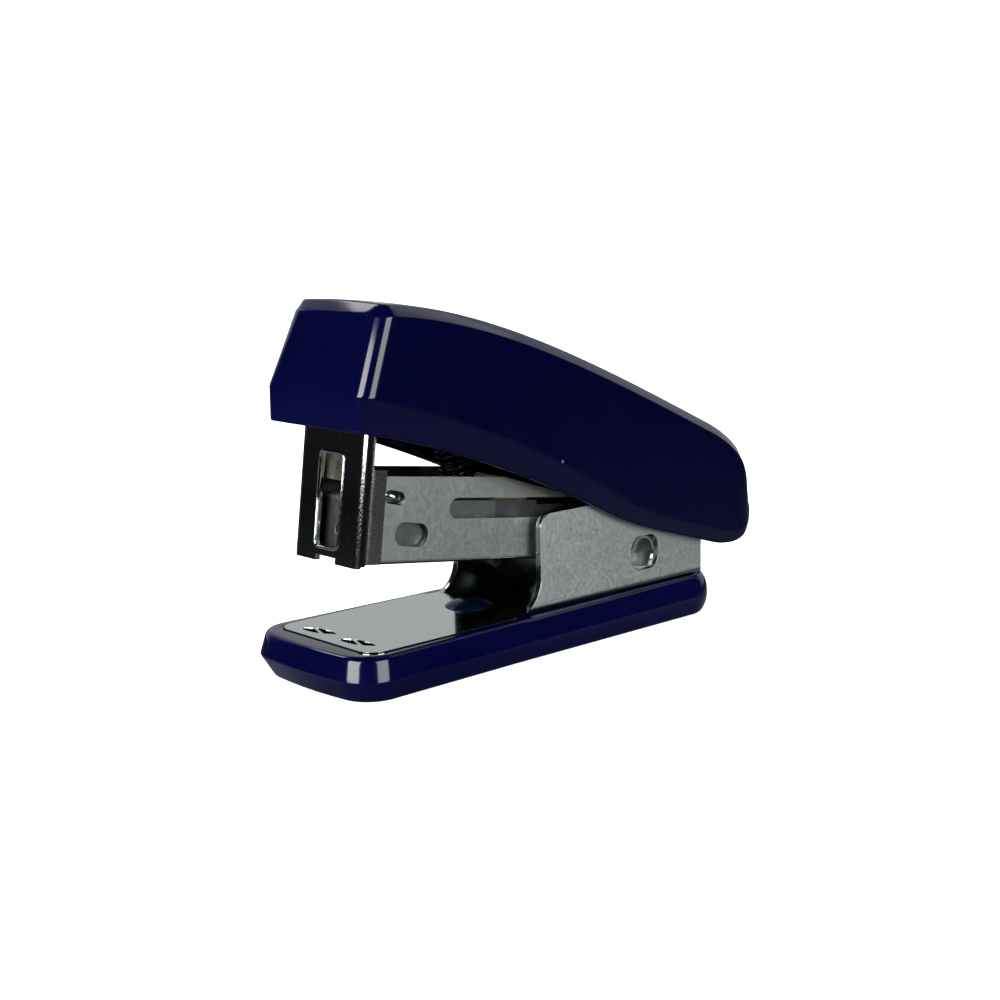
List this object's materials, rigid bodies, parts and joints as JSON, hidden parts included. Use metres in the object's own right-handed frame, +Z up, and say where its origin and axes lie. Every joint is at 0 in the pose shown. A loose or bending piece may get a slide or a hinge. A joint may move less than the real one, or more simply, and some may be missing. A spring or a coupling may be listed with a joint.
{
  "type": "stapler",
  "caption": "Small desk stapler with a navy plastic cover and base, a bent steel frame, a sprung magazine on a rear hinge and an anvil.",
  "frame": {"origin": "on the table under the middle of the stapler's bounding box", "axes": "+X towards the hinge end, so the staple outlet faces -X; +Z up"},
  "size_m": [0.0617, 0.0196, 0.0384],
  "materials": {
    "navy_plastic": "glossy moulded navy",
    "stake_plastic": "glossy moulded navy",
    "frame_steel": "bright plated, fine rolling grain",
    "nose_chrome": "polished",
    "magazine_steel": "matte zinc plated",
    "rail_steel": "matte zinc plated",
    "arm_steel": "satin zinc plated",
    "blade_steel": "bright hardened steel",
    "pin_steel": "turned, plated",
    "staple_wire": "glued strip of bright wire",
    "spring_wire": "oiled spring steel",
    "cream_plastic": "satin moulded cream"
  },
  "bodies": {
    "base": {"base_shell": "navy_plastic", "base_rivets": "stake_plastic", "base_frame": "frame_steel", "hinge_pin": "pin_steel", "spring_sleeve": "pin_steel", "lift_spring": "spring_wire"},
    "magazine": {"magazine_channel": "magazine_steel", "magazine_nose": "nose_chrome", "staple_rail": "rail_steel", "pusher_rod": "pin_steel", "rod_bracket": "rail_steel", "staple_strip": "staple_wire", "spring_seat": "magazine_steel", "return_spring": "spring_wire", "pusher_spring": "spring_wire"},
    "pusher": {"pusher_shoe": "rail_steel", "pusher_tab": "cream_plastic"},
    "handle": {"cover_shell": "navy_plastic", "cover_studs": "stake_plastic", "handle_arm": "arm_steel", "driver_blade": "blade_steel", "driver_rivets": "pin_steel", "spring_cup": "arm_steel"}
  },
  "joints": [
    {"name": "magazine_hinge", "type": "hinge", "parent": "base", "child": "magazine", "pos_m": [0.0182, 0, 0.0115], "axis": [0, -1, 0], "range_deg": [0, 9.6], "stiffness_Nm_per_rad": 0.06, "springref_deg": -20.05, "deforming": ["lift_spring"]},
    {"name": "handle_hinge", "type": "hinge", "parent": "magazine", "child": "handle", "pos_m": [0.0182, 0, 0.0115], "axis": [0, 1, 0], "range_deg": [-10.4, 28], "stiffness_Nm_per_rad": 0.12, "springref_deg": 0.8, "deforming": ["return_spring"]},
    {"name": "pusher_slide", "type": "slide", "parent": "magazine", "child": "pusher", "axis": [0.9914, 0, -0.1305], "range_m": [0, 0.01], "stiffness_N_per_m": 40, "springref_m": -0.02, "deforming": ["pusher_spring"]}
  ]
}
